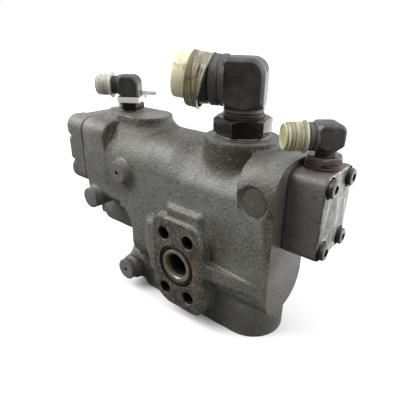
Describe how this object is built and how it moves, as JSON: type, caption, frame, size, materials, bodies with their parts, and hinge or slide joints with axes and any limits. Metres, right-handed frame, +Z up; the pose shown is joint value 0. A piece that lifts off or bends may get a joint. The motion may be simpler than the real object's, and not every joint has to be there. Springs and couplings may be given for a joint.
{
  "type": "hose rupture valve",
  "caption": "Cast hydraulic hose rupture valve with a spool bore, flange port, end covers and capped pipe elbows.",
  "frame": {"origin": "centre of the four-bolt flange port on its face", "axes": "+X along the housing towards the pilot cover, -Y out of the flange face, +Z up from the foot"},
  "size_m": [0.284, 0.084, 0.2333],
  "materials": {
    "housing_paint": "grey paint on rough casting",
    "pilot_cover_paint": "grey paint, worn on its end face",
    "spring_cover_paint": "grey paint with a slight red tinge",
    "screw_steel": "blackened steel",
    "elbow_steel": "dark phosphated steel",
    "locknut_steel": "dark brown steel",
    "washer_steel": "dull steel",
    "rusty_seal": "rust-brown sealing washer",
    "sleeve_steel": "bare machined steel with an oil tint",
    "bare_steel": "ground steel",
    "plug_paint": "painted steel disc",
    "spring_steel": "spring steel",
    "seal_rubber": "black nitrile rubber",
    "main_cap_plastic": "cream soft plastic, soiled",
    "pilot_cap_plastic": "cream translucent plastic",
    "drain_cap_plastic": "white translucent plastic",
    "tie_plastic": "natural nylon"
  },
  "bodies": {
    "root": {"main_housing": "housing_paint", "pilot_cover": "pilot_cover_paint", "pilot_cover_seal": "seal_rubber", "pilot_cover_screws": "screw_steel", "spring_cover": "spring_cover_paint", "spring_cover_seal": "seal_rubber", "spring_cover_screws": "screw_steel", "main_spring": "spring_steel", "check_spring": "spring_steel", "check_plug": "screw_steel", "relief_body": "elbow_steel", "relief_spring": "spring_steel", "relief_adjuster": "screw_steel", "relief_adjuster_bush": "bare_steel", "relief_locknut": "screw_steel", "flange_port_sleeve": "sleeve_steel", "flange_o_ring": "seal_rubber", "core_plug": "plug_paint", "cable_tie": "tie_plastic", "check_plug_seal": "seal_rubber", "relief_head_seal": "seal_rubber", "relief_nose_seal": "seal_rubber", "main_elbow_seal": "seal_rubber", "pilot_elbow_seal": "seal_rubber", "drain_elbow_seal": "seal_rubber", "main_elbow": "elbow_steel", "main_elbow_locknut": "locknut_steel", "main_elbow_washer": "washer_steel", "pilot_elbow": "elbow_steel", "pilot_elbow_locknut": "washer_steel", "pilot_elbow_washer": "rusty_seal", "drain_elbow": "elbow_steel", "drain_elbow_locknut": "locknut_steel", "drain_elbow_washer": "washer_steel"},
    "spool": {"metering_spool": "bare_steel", "spring_guide": "bare_steel"},
    "piston": {"pilot_piston": "bare_steel", "pilot_piston_ring": "seal_rubber"},
    "check": {"check_poppet": "bare_steel"},
    "relief": {"relief_cone": "bare_steel"},
    "main_cap": {"main_elbow_cap": "main_cap_plastic"},
    "pilot_cap": {"pilot_elbow_cap": "pilot_cap_plastic"},
    "drain_cap": {"drain_elbow_cap": "drain_cap_plastic"}
  },
  "joints": [
    {"name": "spool_slide", "type": "slide", "parent": "root", "child": "spool", "axis": [-1, 0, 0], "range_m": [0, 0.008], "stiffness_N_per_m": 4000, "springref_m": -0.01, "deforming": ["main_spring"]},
    {"name": "piston_slide", "type": "slide", "parent": "root", "child": "piston", "axis": [-1, 0, 0], "range_m": [0, 0.008]},
    {"name": "check_slide", "type": "slide", "parent": "root", "child": "check", "axis": [0, 0, -1], "range_m": [0, 0.009], "stiffness_N_per_m": 1500, "springref_m": -0.01, "deforming": ["check_spring"]},
    {"name": "relief_slide", "type": "slide", "parent": "root", "child": "relief", "axis": [-1, 0, 0], "range_m": [0, 0.003], "stiffness_N_per_m": 2000, "springref_m": -0.005, "deforming": ["relief_spring"]},
    {"name": "main_cap_pull", "type": "slide", "parent": "root", "child": "main_cap", "axis": [-0.9063, -0.4226, 0], "range_m": [0, 0.025]},
    {"name": "pilot_cap_pull", "type": "slide", "parent": "root", "child": "pilot_cap", "axis": [-0.7193, -0.6947, 0], "range_m": [0, 0.018]},
    {"name": "drain_cap_pull", "type": "slide", "parent": "root", "child": "drain_cap", "axis": [-0.8387, -0.5446, 0], "range_m": [0, 0.015]}
  ],
  "couplings": [
    {"joint": "piston_slide", "follows": "spool_slide", "ratio": 1}
  ]
}
